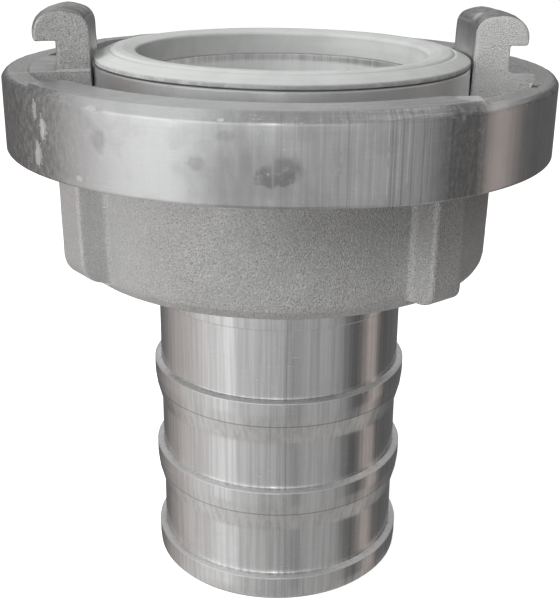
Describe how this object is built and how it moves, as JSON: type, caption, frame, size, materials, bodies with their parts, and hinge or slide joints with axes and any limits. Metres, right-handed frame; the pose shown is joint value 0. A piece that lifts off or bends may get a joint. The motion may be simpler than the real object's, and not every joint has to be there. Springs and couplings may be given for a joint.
{
  "type": "quarter turn fire hose coupling",
  "caption": "Aluminium quarter turn fire hose coupling half: swivelling lug ring with spanner ribs on a barbed hose tail with a face seal.",
  "frame": {"origin": "centre of the hose tail's end face, which the part stands on", "axes": "+Z along the waterway towards the coupling face, +X close to one lug (the lug's middle is 4 degrees on from +X), -Y towards the viewer"},
  "size_m": [0.126, 0.126, 0.1387],
  "materials": {
    "cast_ring": "sand-cast skin with a machined, scratched and dented rim",
    "turned_tail": "bright turned",
    "seal": "matt light grey rubber",
    "wire": "drawn spring wire"
  },
  "bodies": {
    "tail": {"hose_tail": "turned_tail", "sealing_ring": "seal", "snap_ring": "wire"},
    "ring": {"lug_ring": "cast_ring"}
  },
  "joints": [
    {"name": "ring_swivel", "type": "hinge", "parent": "tail", "child": "ring", "pos_m": [0, 0, 0.105], "axis": [0, 0, 1], "continuous": true}
  ]
}
